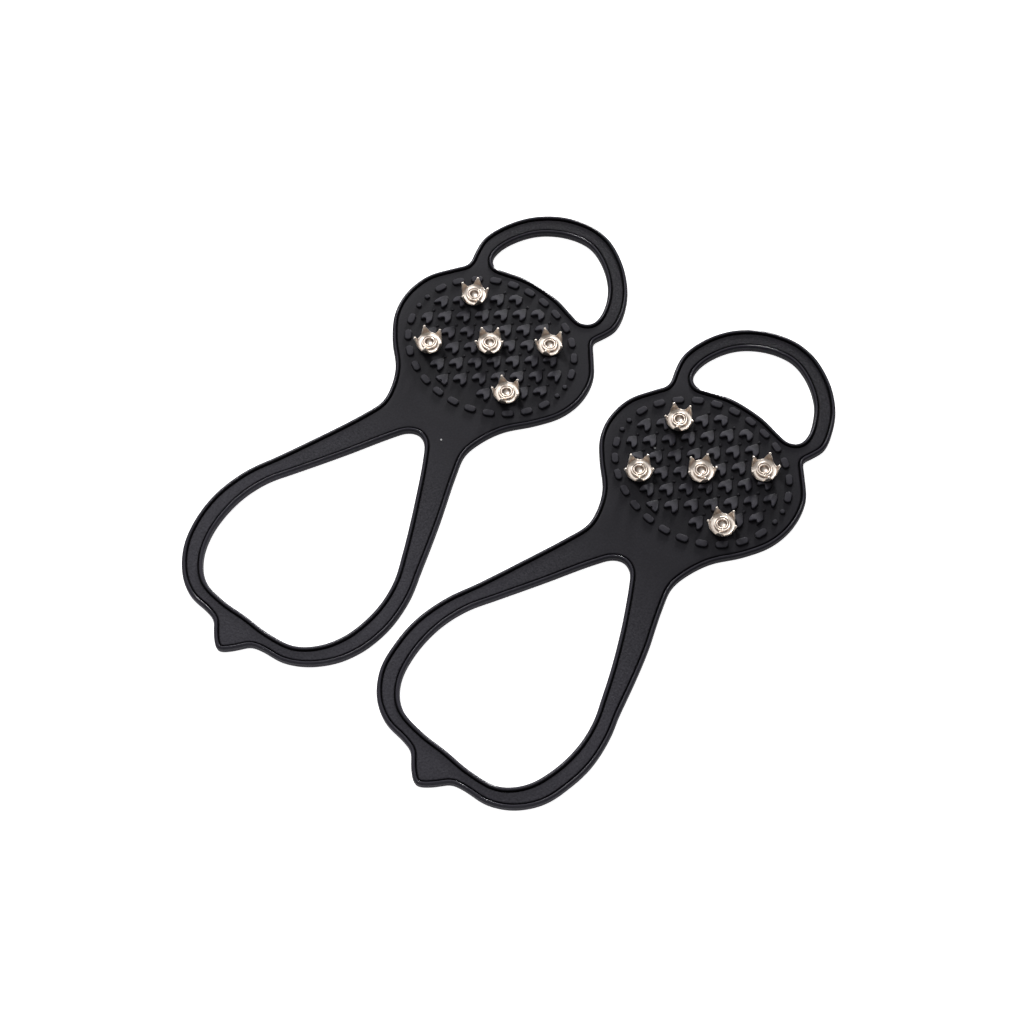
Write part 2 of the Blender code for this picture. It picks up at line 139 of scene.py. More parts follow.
def smooth_loop(half, step):
    """Evenly spaced closed loop through a right half outline and its mirror image, clockwise from above."""
    points = np.array(list(half) + [(-x, y) for x, y in reversed(half[1:-1])])
    before, after = np.roll(points, 1, axis=0), np.roll(points, -1, axis=0)
    span = np.sqrt(np.linalg.norm(after - points, axis=1))[:, None]
    span_before = np.roll(span, 1, axis=0)
    slope = (points - before) / span_before - (after - before) / (span_before + span)
    slope = slope + (after - points) / span
    slope_after = np.roll(slope, -1, axis=0)
    t = np.linspace(0, 1, 24, endpoint=False)[None, :, None]
    p, q, a, b, s = points[:, None], after[:, None], slope[:, None], slope_after[:, None], span[:, None]
    curve = (2 * t**3 - 3 * t**2 + 1) * p + (t**3 - 2 * t**2 + t) * s * a
    curve = curve + (3 * t**2 - 2 * t**3) * q + (t**3 - t**2) * s * b
    return resampled(curve.reshape(-1, 2), step)


def resampled(loop, step):
    """The closed loop with its points about step apart."""
    closed = np.vstack([loop, loop[:1]])
    length = np.concatenate([[0], np.cumsum(np.linalg.norm(np.diff(closed, axis=0), axis=1))])
    at = np.linspace(0, length[-1], max(8, round(length[-1] / step)), endpoint=False)
    return np.c_[np.interp(at, length, closed[:, 0]), np.interp(at, length, closed[:, 1])]


def softened(loop, rounds):
    """The closed loop with its corners eased."""
    for _ in range(rounds):
        loop = (np.roll(loop, 1, axis=0) + 2 * loop + np.roll(loop, -1, axis=0)) / 4
    return loop


def moved_right(loop, distance):
    """The closed loop moved to the right of its own direction, which is inwards on a clockwise one."""
    along = np.roll(loop, -1, axis=0) - np.roll(loop, 1, axis=0)
    along /= np.linalg.norm(along, axis=1)[:, None]
    return loop + distance * along[:, ::-1] * (1, -1)


def spread(loop, cleat):
    """The loop with its width eased along the cleat."""
    return loop * np.c_[np.interp(loop[:, 1], BEND_Y, cleat["spread"]), np.ones(len(loop))]


def bent(points, bend):
    """Plan points carried along a centreline with the headings bend, in degrees, at the stations BEND_Y."""
    station = np.linspace(2 * BEND_Y[0], 2 * BEND_Y[-1], 250)
    heading = np.radians(np.interp(station, BEND_Y, bend))
    middle, step = (heading[1:] + heading[:-1]) / 2, station[1] - station[0]
    across = np.concatenate([[0], np.cumsum(np.sin(middle))]) * step
    along = np.concatenate([[0], np.cumsum(np.cos(middle))]) * step
    across -= np.interp(0, station, across)
    along -= np.interp(0, station, along)
    x, y = np.asarray(points).T
    turn = np.interp(y, station, heading)
    bent_x = np.interp(y, station, across) + x * np.cos(turn)
    bent_y = np.interp(y, station, along) - x * np.sin(turn)
    return np.c_[bent_x, bent_y]


def turned_by(points, angle, centre=(0.0, 0.0)):
    """Plan points turned anticlockwise about the origin, then moved by centre."""
    c, s = math.cos(angle), math.sin(angle)
    return np.asarray(points) @ np.array([[c, s], [-s, c]]) + centre


def inside(points, loop):
    """Even-odd test of each point against a closed loop."""
    x0, y0 = loop.T
    x1, y1 = np.roll(loop, -1, axis=0).T
    x, y = points[:, :1], points[:, 1:]
    crosses = (y0 > y) != (y1 > y)
    with np.errstate(divide="ignore", invalid="ignore"):
        reach = (x1 - x0) * (y - y0) / (y1 - y0) + x0
    return (crosses & (x < reach)).sum(axis=1) % 2 == 1


# ---------------------------------------------------------------------------------------------
# Mesh helpers. A Shape gathers points and faces before they become one mesh.

class Shape:
    def __init__(self):
        self.points, self.faces, self.count, self.bead, self.tone = [], [], 0, [], []

    def add(self, points, faces, bead=0.0, tone=MID_TONE):
        points = np.asarray(points, float)
        self.points.append(points)
        self.bead.append(np.broadcast_to(bead, len(points)))
        self.tone.append(np.broadcast_to(tone, len(points)))
        self.faces += [tuple(self.count + i for i in face) for face in faces]
        self.count += len(points)

    def loft(self, rings, flip, cap=False, bead=0.0, tone=MID_TONE):
        """Quads between rings of equal length. cap closes the last ring.
        bead and tone may hold a value per ring or per point."""
        n = len(rings[0])
        faces = []
        for j in range(len(rings) - 1):
            for i in range(n):
                k = (i + 1) % n
                quad = (j * n + i, j * n + k, (j + 1) * n + k, (j + 1) * n + i)
                faces.append(quad[::-1] if flip else quad)
        if cap:
            last = tuple((len(rings) - 1) * n + i for i in range(n))
            faces.append(last[::-1] if flip else last)

        def per_point(value):
            if np.size(value) == n * len(rings):
                return value
            return np.repeat(np.broadcast_to(value, len(rings)), n)

        self.add(np.vstack(rings), faces, per_point(bead), per_point(tone))


def lifted(loop, z):
    """Plan points at height z."""
    return np.c_[loop, np.full(len(loop), z)]


def filled(outline, holes, grid_step, z, up):
    """Triangles between the outline and its holes, with points inside so that the sheet can bend."""
    loops = [outline] + holes
    low, high = outline.min(axis=0), outline.max(axis=0)
    gx, gy = np.meshgrid(np.arange(low[0], high[0], grid_step), np.arange(low[1], high[1], grid_step))
    gx[1::2] += grid_step / 2
    grid = np.c_[gx.ravel(), gy.ravel()]
    keep = inside(grid, outline)
    for hole in holes:
        keep &= ~inside(grid, hole)
    grid = grid[keep]
    edge_points = np.vstack(loops)
    near = np.array([((edge_points - p) ** 2).sum(axis=1).min() for p in grid])
    grid = grid[near > (0.6 * grid_step) ** 2]
    points = np.vstack([edge_points, grid]) * 1000  # in millimetres for the triangulation
    edges, start = [], 0
    for loop in loops:
        n = len(loop)
        edges += [(start + i, start + (i + 1) % n) for i in range(n)]
        start += n
    out, _, faces, *_ = delaunay_2d_cdt([Vector(p) for p in points], edges, [], 0, 1e-6)
    out = np.array([tuple(p) for p in out]) / 1000
    faces = np.array(faces)
    middle = out[faces].mean(axis=1)
    keep = inside(middle, outline)
    for hole in holes:
        keep &= ~inside(middle, hole)
    faces = faces[keep]
    a, b, c = out[faces[:, 0]], out[faces[:, 1]], out[faces[:, 2]]
    area = (b[:, 0] - a[:, 0]) * (c[:, 1] - a[:, 1]) - (b[:, 1] - a[:, 1]) * (c[:, 0] - a[:, 0])
    wrong = (area < 0) == up
    faces[wrong] = faces[wrong][:, ::-1]
    return lifted(out, z), [tuple(map(int, f)) for f in faces]


def circle(radius, centre, count):
    """Clockwise from above, as the outlines are."""
    angle = -np.arange(count) * 2 * math.pi / count
    return np.c_[radius * np.cos(angle), radius * np.sin(angle)] + centre


def new_object(name, mesh, material):
    obj = bpy.data.objects.new(name, mesh)
    bpy.context.scene.collection.objects.link(obj)
    mesh.materials.clear()
    mesh.materials.append(material)
    return obj


# ---------------------------------------------------------------------------------------------
# The tread's lugs, dashes and dots, as outlines in the plan.

LUG_HALF = (
    (0.0, 0.0033), (0.0007, 0.0030), (0.0013, 0.0022), (0.0020, 0.0011), (0.0027, 0.0), (0.0028, -0.0014),
    (0.00255, -0.0026), (0.0021, -0.0030), (0.0015, -0.0027), (0.0008, -0.0018), (0.0, -0.0010),
)
NUB_AHEAD, NUB_RADIUS = 0.0044, 0.00055  # a small bump in front of each lug's tip
NUB_FIELD_SHARE = 0.97  # the nubs stay this far inside the field
DASH_HALF = (
    (0.0025, 0.0), (0.0023, 0.0009), (0.0016, 0.0014), (0.0, 0.00145), (-0.0016, 0.0014), (-0.0023, 0.0009),
    (-0.0025, 0.0),
)


def lug_outlines():
    """Outlines of the lugs and their nubs, each with its centre and whether it is a lug."""
    lug = softened(smooth_loop(LUG_HALF, 0.0003), 1)
    studs = np.array(list(STUD_GRID.values()))
    found = []
    for column in range(-LUG_COLUMNS, LUG_COLUMNS + 1):
        for row in range(-LUG_ROWS, LUG_ROWS + 1):
            if (column + row) % 2:
                continue
            centre = np.array([column * LUG_PITCH[0], row * LUG_PITCH[1] / 2])
            under_a_stud = np.linalg.norm(studs - centre, axis=1).min() < LUG_CLEAR
            if np.linalg.norm(centre / FIELD) > 1 or under_a_stud or (column, row) == (1, -LUG_ROWS):
                continue
            found.append((lug + centre, centre, True))
            nub = centre + (0, NUB_AHEAD)
            clear = np.linalg.norm(studs - nub, axis=1).min() > LAND + NUB_RADIUS
            if np.linalg.norm(nub / FIELD) < NUB_FIELD_SHARE and clear:
                found.append((circle(NUB_RADIUS, nub, 14), nub, False))
    return found


def clipped(loop, keep):
    """The loop cut back along the rays from its middle to where keep(points) is positive."""
    middle = loop.mean(axis=0)
    if keep(middle[None])[0] <= 0:
        middle = loop[np.argmax(keep(loop))] * 0.7 + middle * 0.3
    low, high = np.zeros(len(loop)), np.ones(len(loop))
    inside_already = keep(loop) > 0
    for _ in range(18):
        mid = (low + high) / 2
        good = keep(middle + (loop - middle) * mid[:, None]) > 0
        low, high = np.where(good, mid, low), np.where(good, high, mid)
    share = np.where(inside_already, 1, low)[:, None]
    return softened(middle + (loop - middle) * share, 1)


def ring_outlines():
    """The dashes and dots round the tread, a quarter at a time in all four quarters."""
    turn = np.linspace(0, math.pi / 2, 400)
    x, y = RING[0] * np.sin(turn), RING[1] * np.cos(turn)
    length = np.concatenate([[0], np.cumsum(np.hypot(np.diff(x), np.diff(y)))])
    dash = resampled(np.array(DASH_HALF + tuple((-x, -y) for x, y in DASH_HALF[1:-1])), 0.0004)[::-1]
    dot = circle(DOT_RADIUS, (0, 0), 16)
    loops = []
    for k in range(DASHES + 1):
        is_dash = k < DASHES
        at = np.interp((k + 0.5) * RING_SPACING if is_dash else length[-1] - DOT_BACK, length, turn)
        tangent = math.atan2(-RING[1] * math.sin(at), RING[0] * math.cos(at))
        for mx, my in ((1, 1), (1, -1), (-1, 1), (-1, -1)):
            centre = (RING[0] * math.sin(at) * mx, RING[1] * math.cos(at) * my)
            loops.append(turned_by(dash if is_dash else dot, tangent * mx * my, centre))
    return loops


# A lug's flank as (inset, share of its height): a fillet at the foot, a rounded shoulder.
FLANK = (
    (-0.00040, -0.06), (-0.00022, 0.0), (-0.00006, 0.10), (0.0, 0.30), (0.00002, 0.72),
    (0.00010, 0.88), (0.00024, 0.97), (0.00046, 1.0),
)


def level(height):
    """The same height at every point."""
    return lambda points: np.full(len(points), height)


def add_raised(shape, loop, height):
    """A lug, dash, dot or nub on the web. height is a function of the points."""
    rings, tone = [], []
    for inset, share in FLANK:
        ring = moved_right(loop, inset)
        rise = share * height(ring)
        rings.append(np.c_[ring, WEB + rise])
        # The tone paints shade at the foot, darkest, and light on the top, palest.
        tone.append(np.interp(rise / LUG_HEIGHT, (0, 0.2, 1), (PAINTED_FOOT_SHADE, PAINTED_TREAD_SHADE, 1.0)))
    shape.loft(rings, flip=True, cap=True, tone=np.concatenate(tone))


# ---------------------------------------------------------------------------------------------
# Rubber mouldings.

def placed(points, cleat):
    """Points of the tread's own plan in the moulding's plan."""
    return turned_by(points, cleat["tread_turn"], cleat["tread_centre"])


def on_tread(points, cleat):
    """Points of the moulding's plan in the tread's own plan."""
    return turned_by(points - cleat["tread_centre"], -cleat["tread_turn"])


def painted_heel_light_factor(points):
    """A factor on the tone, painted light: 1 on the plate, more over the heel loop."""
    return np.interp(points[:, 1], HEEL_SHADE_Y, (PAINTED_HEEL_LIGHT / MID_TONE, 1.0))


def add_body(shape, cleat, studs):
    """The edges, the web, and the flat underside with a blind well under each stud."""
    halves = (OUTER_HALF, HEEL_OPENING_HALF, TOE_OPENING_HALF)
    loops = [softened(spread(smooth_loop(half, OUTLINE_STEP), cleat), 3) for half in halves]
    bead = [np.clip((z - WEB) / BEAD_RISE, 0, 1) for _, z, _ in EDGE]
    tops, bottoms = [], []
    for loop, sign in zip(loops, (1, -1, -1)):
        rings = [lifted(moved_right(loop, sign * inset), z) for inset, z, _ in EDGE]
        # The edge's tones paint a highlight on the bead's crest and shade in its groove.
        tones = [tone * painted_heel_light_factor(loop) for _, _, tone in EDGE]
        shape.loft(rings, flip=sign > 0, bead=bead, tone=np.concatenate(tones))
        tops.append(rings[-1][:, :2])
        bottoms.append(rings[0][:, :2])
    web, faces = filled(tops[0], tops[1:], WEB_GRID_STEP, WEB, up=True)
    from_middle = np.linalg.norm(on_tread(web[:, :2], cleat) / RING, axis=1)
    # Painted shade: the web is darker over the tread, between the lugs.
    tone = np.interp(from_middle, TREAD_EDGE, (PAINTED_TREAD_SHADE, MID_TONE)) * painted_heel_light_factor(web)
    shape.add(web, faces, tone=tone)
    wells = [circle(WELL_RADIUS, at, 40) for at in studs]
    shape.add(*filled(bottoms[0], bottoms[1:] + wells, UNDERSIDE_GRID_STEP, 0.0, up=False))
    for well, at in zip(wells, studs):
        inner = at + (well - at) * WELL_TOP_SHARE
        shape.loft([lifted(well, 0.0), lifted(inner, WELL_TOP)], flip=False, cap=True)


def add_tread(shape, cleat, studs):
    """The ring of dashes and the field of lugs and nubs, cut back round the studs."""

    def keep(points):
        """Positive inside the field and outside every stud's land."""
        off_field = 1 - np.linalg.norm(on_tread(points, cleat) / FIELD, axis=1)
        off_land = np.array([np.linalg.norm(points - at, axis=1) for at in studs]).min(axis=0) - LAND
        return np.minimum(off_field, off_land / LAND)

    def ramp_at(centre):
        """A lug's height, lowest at its tip towards the toe."""
        def height(points):
            along = turned_by(points - centre, -cleat["tread_turn"])[:, 1]
            return LUG_HEIGHT * np.interp(along, (LUG_RAMP_START, LUG_HALF[0][1]), (1.0, LUG_TIP_SHARE))
        return height

    for loop in ring_outlines():
        add_raised(shape, placed(loop, cleat), level(DASH_HEIGHT))
    for loop, centre, is_lug in lug_outlines():
        loop, centre = placed(loop, cleat), placed(centre, cleat)
        if is_lug:
            add_raised(shape, clipped(loop, keep), ramp_at(centre))
        else:
            add_raised(shape, loop, level(NUB_HEIGHT))


def moulding_mesh(side, shape):
    """The whole moulding, unbent, with what its material needs to know at each point."""
    plan = np.vstack(shape.points)
    mesh = bpy.data.meshes.new(f"{side} moulding")
    mesh.from_pydata([tuple(p) for p in plan], [], shape.faces)
    beads = np.concatenate(shape.bead)
    grain = np.interp(plan[:, 1], GRAIN_Y, (1.0, PLATE_GRAIN, PLATE_GRAIN, 1.0))
    grain = grain * (1 - BEAD_SMOOTHING * beads)
    for name, values in (("bead", beads), ("tone", np.concatenate(shape.tone)), ("grain", grain)):
        attribute = mesh.attributes.new(name, "FLOAT", "POINT")
        attribute.data.foreach_set("value", values.astype(np.float32))
    return mesh


def cut_and_bent(mesh, name, keep_front, bend, origin):
    """One side of the cut across the toe, closed there, then bent and put in its place."""
    work = bmesh.new()
    work.from_mesh(mesh)
    bmesh.ops.remove_doubles(work, verts=work.verts, dist=1e-6)
    cut = bmesh.ops.bisect_plane(
        work, geom=work.verts[:] + work.edges[:] + work.faces[:],
        plane_co=(0, TOE_CUT_Y, 0), plane_no=(0, 1, 0),
        clear_inner=keep_front, clear_outer=not keep_front, dist=1e-7,
    )["geom_cut"]
    rim = [e for e in cut if isinstance(e, bmesh.types.BMEdge)]
    caps = bmesh.ops.holes_fill(work, edges=rim, sides=0)["faces"]
    for edge in {e for face in caps for e in face.edges}:
        edge.smooth = False
    for face in work.faces:
        face.smooth = True
    piece = bpy.data.meshes.new(name)
    work.to_mesh(piece)
    work.free()
    co = np.empty(len(piece.vertices) * 3)
    piece.vertices.foreach_get("co", co)
    co = co.reshape(-1, 3)
    co[:, :2] = bent(co[:, :2], bend) + origin
    piece.vertices.foreach_set("co", co.ravel())
    piece.update()
    return piece


def moulding(side, cleat, rubber):
    """Both rubber pieces of a cleat. Returns the places of its studs."""
    bend = cleat["bend"]
    centre_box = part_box(f"{side}_stud_centre_washer")
    studs = turned_by(list(STUD_GRID.values()), cleat["tread_turn"], cleat["stud_centre"])
    places = bent(studs, bend)
    middle = (np.array(centre_box[0]) + np.array(centre_box[1]))[:2] / 2
    origin = middle - places[list(STUD_GRID).index("centre")]

    shape = Shape()
    add_body(shape, cleat, studs)
    add_tread(shape, cleat, studs)
    mesh = moulding_mesh(side, shape)
    pieces = {}
    for name, keep_front in (("rear_rubber", False), ("toe_rubber", True)):
        piece = cut_and_bent(mesh, f"{side}_{name}", keep_front, bend, origin)
        pieces[name] = new_object(f"{side}_{name}", piece, rubber)
    rear, toe = pieces["rear_rubber"], pieces["toe_rubber"]
    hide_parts(f"{side}_tread_plate", f"{side}_heel_loop")
    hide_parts(f"{side}_toe_loop")
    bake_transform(rear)
    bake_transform(toe)
    return origin + places


# ---------------------------------------------------------------------------------------------
# Studs.

SHARP_FROM = math.radians(50)
RIVET_YAW = 17  # degrees, for the rivets and washers


def stud_mesh(name, shape):
    """The shape as a mesh with its faces pointing out and only its sharp edges left sharp."""
    mesh = bpy.data.meshes.new(name)
    mesh.from_pydata([tuple(p) for p in np.vstack(shape.points)], [], shape.faces)
    # The tone attribute carries the painted shade in the metal's hollows.
    painted_shade_values = mesh.attributes.new("tone", "FLOAT", "POINT")
    painted_shade_values.data.foreach_set("value", np.concatenate(shape.tone).astype(np.float32))
    work = bmesh.new()
    work.from_mesh(mesh)
    bmesh.ops.remove_doubles(work, verts=work.verts, dist=2e-6)
    bmesh.ops.recalc_face_normals(work, faces=work.faces)
    work.to_mesh(mesh)
    work.free()
    mesh.shade_smooth()
    mesh.set_sharp_from_angle(angle=SHARP_FROM)
    return mesh


CROWN_PATH = (  # the sheet's inner face as (radius, z), from the hole, over the dish and up a tooth
    (0.00250, 0.00398), (0.00262, 0.00405), (0.00340, 0.00405), (0.00420, 0.00404), (0.00470, 0.00408),
    (0.00500, 0.00422), (0.00516, 0.00450), (0.00522, 0.00495), (0.00528, 0.00560), (0.00538, 0.00640),
    (0.00552, 0.00720), (0.00568, 0.00790),
)
# A tooth's outline: how far up a column of the sheet reaches, from the tooth's middle (0) to the middle of
# the valley beside it (1).
TOOTH_TURN = (0, 0.05, 0.12, 0.24, 0.34, 0.42, 0.50, 0.58, 0.68, 1.0)
TOOTH_RISE = (1, 1, 0.93, 0.77, 0.58, 0.38, 0.18, 0.07, 0.02, 0)
TEETH, CROWN_COLUMNS = 5, 200
CROWN_SHEET, CROWN_VALLEY = 0.00048, 0.00254
TIP_RADIUS, TIP_ABOVE = 0.00060, 0.0001  # the ball on each tooth's point
TOOTH_PAINTED_SHADE, PAINTED_SHADE_EDGE = 0.12, (-0.0006, 0.0004)  # the painted shade comes in between these, from the valley's reach


def crown_mesh():
    """A stamped star: a pierced dish with leaf-shaped teeth turned up from its rim, each ending in a ball."""
    angle = -np.arange(CROWN_COLUMNS) * 2 * math.pi / CROWN_COLUMNS
    from_tooth = np.abs((angle * TEETH / (2 * math.pi) + 0.5) % 1 - 0.5) * 2
    rise = np.interp(from_tooth, TOOTH_TURN, TOOTH_RISE)
    path = np.array(CROWN_PATH)
    length = np.concatenate([[0], np.cumsum(np.linalg.norm(np.diff(path, axis=0), axis=1))])
    reach = CROWN_VALLEY + (length[-1] - CROWN_VALLEY) * rise
    tangent = np.gradient(path, axis=0)
    tangent /= np.linalg.norm(tangent, axis=1)[:, None]

    def ring(share, depth):
        """The sheet at a share of each column's reach, depth below its inner face."""
        at = share * reach
        place = [np.interp(at, length, path[:, k]) for k in (0, 1)]
        way = [np.interp(at, length, tangent[:, k]) for k in (0, 1)]
        r, z = place[0] + depth * way[1], place[1] - depth * way[0]
        return np.c_[r * np.cos(angle), r * np.sin(angle), z]

    shares = np.linspace(0, 1, 22)
    rings = [ring(share, 0) for share in shares[:-1]]
    # The sheet's edge, rounded.
    rings += [ring(0.985, 0), ring(1.0, 0.15 * CROWN_SHEET)]
    rings += [ring(1.0, 0.85 * CROWN_SHEET), ring(0.985, CROWN_SHEET)]
    rings += [ring(share, CROWN_SHEET) for share in shares[-2::-1]]
    rings.append(rings[0])
    # The teeth's inner faces get painted shade, the dish and the edges are left bright.
    starts, full = (CROWN_VALLEY + past for past in PAINTED_SHADE_EDGE)
    painted_shade = [np.interp(share * reach, (starts, full), (0.0, TOOTH_PAINTED_SHADE)) for share in shares[:-1]]
    painted_shade += [np.zeros(CROWN_COLUMNS)] * (len(rings) - len(painted_shade))
    shape = Shape()
    shape.loft(rings, flip=True, tone=np.concatenate(painted_shade))
    tip_r, tip_z = path[-1]
    tip_r += 0.4 * CROWN_SHEET
    for k in range(TEETH):
        turn = 2 * math.pi * k / TEETH
        ball = bmesh.new()
        bmesh.ops.create_icosphere(ball, subdivisions=3, radius=TIP_RADIUS)
        at = Vector((tip_r * math.cos(turn), tip_r * math.sin(turn), tip_z + TIP_ABOVE))
        corners = [tuple(v.index for v in f.verts) for f in ball.faces]
        shape.add([tuple(v.co + at) for v in ball.verts], corners, tone=0.0)
        ball.free()
    return stud_mesh("crown", shape)


RIVET_TOP = 0.0050
# Profiles as (radius, z below the rivet's top, painted shade), from the bottom of the dimple to under the
# rolled rim, and as (radius, z, painted shade) from there to the head on the shoe side. The painted shade
# darkens the dimple's wall and the grooves.
RIVET_RIM = (
    (0.00001, 0.00120, 0.2), (0.0003, 0.00118, 0.1), (0.0008, 0.00108, 0), (0.0012, 0.00094, 0.1),
    (0.00144, 0.00074, 0.7), (0.00160, 0.00048, 0.8), (0.00178, 0.00022, 0.6), (0.00196, 0.00008, 0.1),
    (0.00214, 0.00002, 0), (0.00232, 0.00008, 0.1), (0.00246, 0.00026, 0.6), (0.00258, 0.00030, 0.7),
    (0.00270, 0.00020, 0.3), (0.00290, 0.00005, 0), (0.00312, 0.00004, 0), (0.00332, 0.00014, 0),
    (0.00350, 0.00038, 0.3), (0.00352, 0.00062, 0.9),
)
RIVET_SHANK_AND_HEAD = (
    (0.0033, 0.0042, 1), (0.0022, 0.0042, 1), (0.0022, 0.0007, 0), (0.0034, 0.0007, 0), (0.0038, 0.00058, 0),
    (0.0038, 0.00036, 0), (0.0034, 0.0002, 0), (0.00001, 0.0002, 0),
)


def rivet_mesh():
    profile = [(r, RIVET_TOP - below, painted_shade) for r, below, painted_shade in RIVET_RIM] + list(RIVET_SHANK_AND_HEAD)
    shape = Shape()
    rings = [lifted(circle(r, (0, 0), 64), z) for r, z, _ in profile]
    shape.loft(rings, flip=False, tone=[painted_shade for _, _, painted_shade in profile])
    return stud_mesh("rivet", shape)


WASHER_PROFILE = (
    (0.0025, 0.0010), (0.0025, 0.0016), (0.00585, 0.0016), (0.0060, 0.00148), (0.0060, 0.00112),
    (0.00585, 0.0010), (0.0025, 0.0010),
)


def washer_mesh():
    shape = Shape()
    shape.loft([lifted(circle(r, (0, 0), 48), z) for r, z in WASHER_PROFILE], flip=True, tone=0.0)
    return stud_mesh("washer", shape)


# ---------------------------------------------------------------------------------------------
# Materials.

def node(tree, kind, **values):
    """A new node. A value sets the node's own property of that name, or else its input."""
    new = tree.nodes.new(kind)
    for key, value in values.items():
        if hasattr(new, key):
            setattr(new, key, value)
        else:
            new.inputs[key.replace("_", " ")].default_value = value
    return new


def calculated(tree, operation, *values):
    """The output of a Math node whose inputs are sockets or numbers."""
    new = node(tree, "ShaderNodeMath", operation=operation)
    for place, value in zip(new.inputs, values):
        if isinstance(value, bpy.types.NodeSocket):
            tree.links.new(value, place)
        else:
            place.default_value = value
    return new.outputs[0]


def material(name):
    """A new material, its node tree and its shader."""
    made = bpy.data.materials.new(name)
    made.use_nodes = True
    return made, made.node_tree, made.node_tree.nodes["Principled BSDF"]


def ramp(tree, stops):
    """A colour ramp with stops of (position, colour)."""
    made = tree.nodes.new("ShaderNodeValToRGB")
    elements = made.color_ramp.elements
    while len(elements) > len(stops):
        elements.remove(elements[-1])
    while len(elements) < len(stops):
        elements.new(0.5)
    for element, (position, colour) in zip(elements, stops):
        element.position = position
        element.color = (*colour, 1)
    return made


def grey(value):
    return (value, value, value)


MOTTLE_SHIFT, PEBBLE_SHIFT = 0.24, 0.9  # how far the mottling and the pebbling move the tone
SPECK_RADIUS, SPECK_FREE = 0.075, 0.90  # a speck's radius in its cell, and the share of cells without one
BEAD_SATIN = 0.41  # how much less rough the bead is


def rubber_material():
    made, tree, shader = material("black rubber")
    link = tree.links.new
    coords = tree.nodes.new("ShaderNodeTexCoord")
    bead = node(tree, "ShaderNodeAttribute", attribute_name="bead")
    tone = node(tree, "ShaderNodeAttribute", attribute_name="tone")
    mottle = node(tree, "ShaderNodeTexNoise", Scale=60.0, Detail=4.0, Roughness=0.6)
    grain = node(tree, "ShaderNodeTexNoise", Scale=1150.0, Detail=3.0, Roughness=0.65)
    pebbled = node(tree, "ShaderNodeAttribute", attribute_name="grain")
    link(coords.outputs["Object"], mottle.inputs["Vector"])
    link(coords.outputs["Object"], grain.inputs["Vector"])
    # The tone attribute sets the base colour: painted shade in the grooves, at the lugs' feet and over the
    # tread's web, painted light on the bead's crest, the lugs' tops and the heel loop.
    base = ramp(tree, (
        (0.0, (0.0010, 0.0009, 0.0012)), (0.25, (0.0066, 0.0061, 0.0088)), (0.5, (0.0118, 0.0110, 0.0150)),
        (1.0, (0.0400, 0.0382, 0.0475)),
    ))
    uneven = calculated(tree, "MULTIPLY_ADD", mottle.outputs["Fac"], MOTTLE_SHIFT, tone.outputs["Fac"])
    centred_tone = calculated(tree, "SUBTRACT", uneven, MOTTLE_SHIFT / 2)
    centred_grain = calculated(tree, "SUBTRACT", grain.outputs["Fac"], 0.5)
    pebbles = calculated(tree, "MULTIPLY", centred_grain, pebbled.outputs["Fac"])
    shifted = calculated(tree, "MULTIPLY_ADD", pebbles, PEBBLE_SHIFT, centred_tone)
    link(shifted, base.inputs["Fac"])
    # Specks of pale dust: one small spot in a few of the cells.
    cells = node(tree, "ShaderNodeTexVoronoi", Scale=150.0)
    link(coords.outputs["Object"], cells.inputs["Vector"])
    spot = calculated(tree, "LESS_THAN", cells.outputs["Distance"], SPECK_RADIUS)
    pick = node(tree, "ShaderNodeSeparateColor")
    link(cells.outputs["Color"], pick.inputs["Color"])
    chosen = calculated(tree, "GREATER_THAN", pick.outputs["Red"], SPECK_FREE)
    speck = calculated(tree, "MULTIPLY", spot, chosen)
    mix = node(tree, "ShaderNodeMix", data_type="RGBA")
    link(speck, mix.inputs["Factor"])
    link(base.outputs["Color"], mix.inputs["A"])
    mix.inputs["B"].default_value = (0.45, 0.45, 0.45, 1)
    link(mix.outputs["Result"], shader.inputs["Base Color"])
    rough = ramp(tree, ((0.3, grey(0.52)), (0.7, grey(0.62))))
    link(mottle.outputs["Fac"], rough.inputs["Fac"])
    satin = calculated(tree, "MULTIPLY", bead.outputs["Fac"], BEAD_SATIN)
    link(calculated(tree, "SUBTRACT", rough.outputs["Color"], satin), shader.inputs["Roughness"])
    bump = node(tree, "ShaderNodeBump", Distance=0.00025)
    link(grain.outputs["Fac"], bump.inputs["Height"])
    link(pebbled.outputs["Fac"], bump.inputs["Strength"])
    link(bump.outputs["Normal"], shader.inputs["Normal"])
    shader.inputs["Specular IOR Level"].default_value = 0.13
    return made


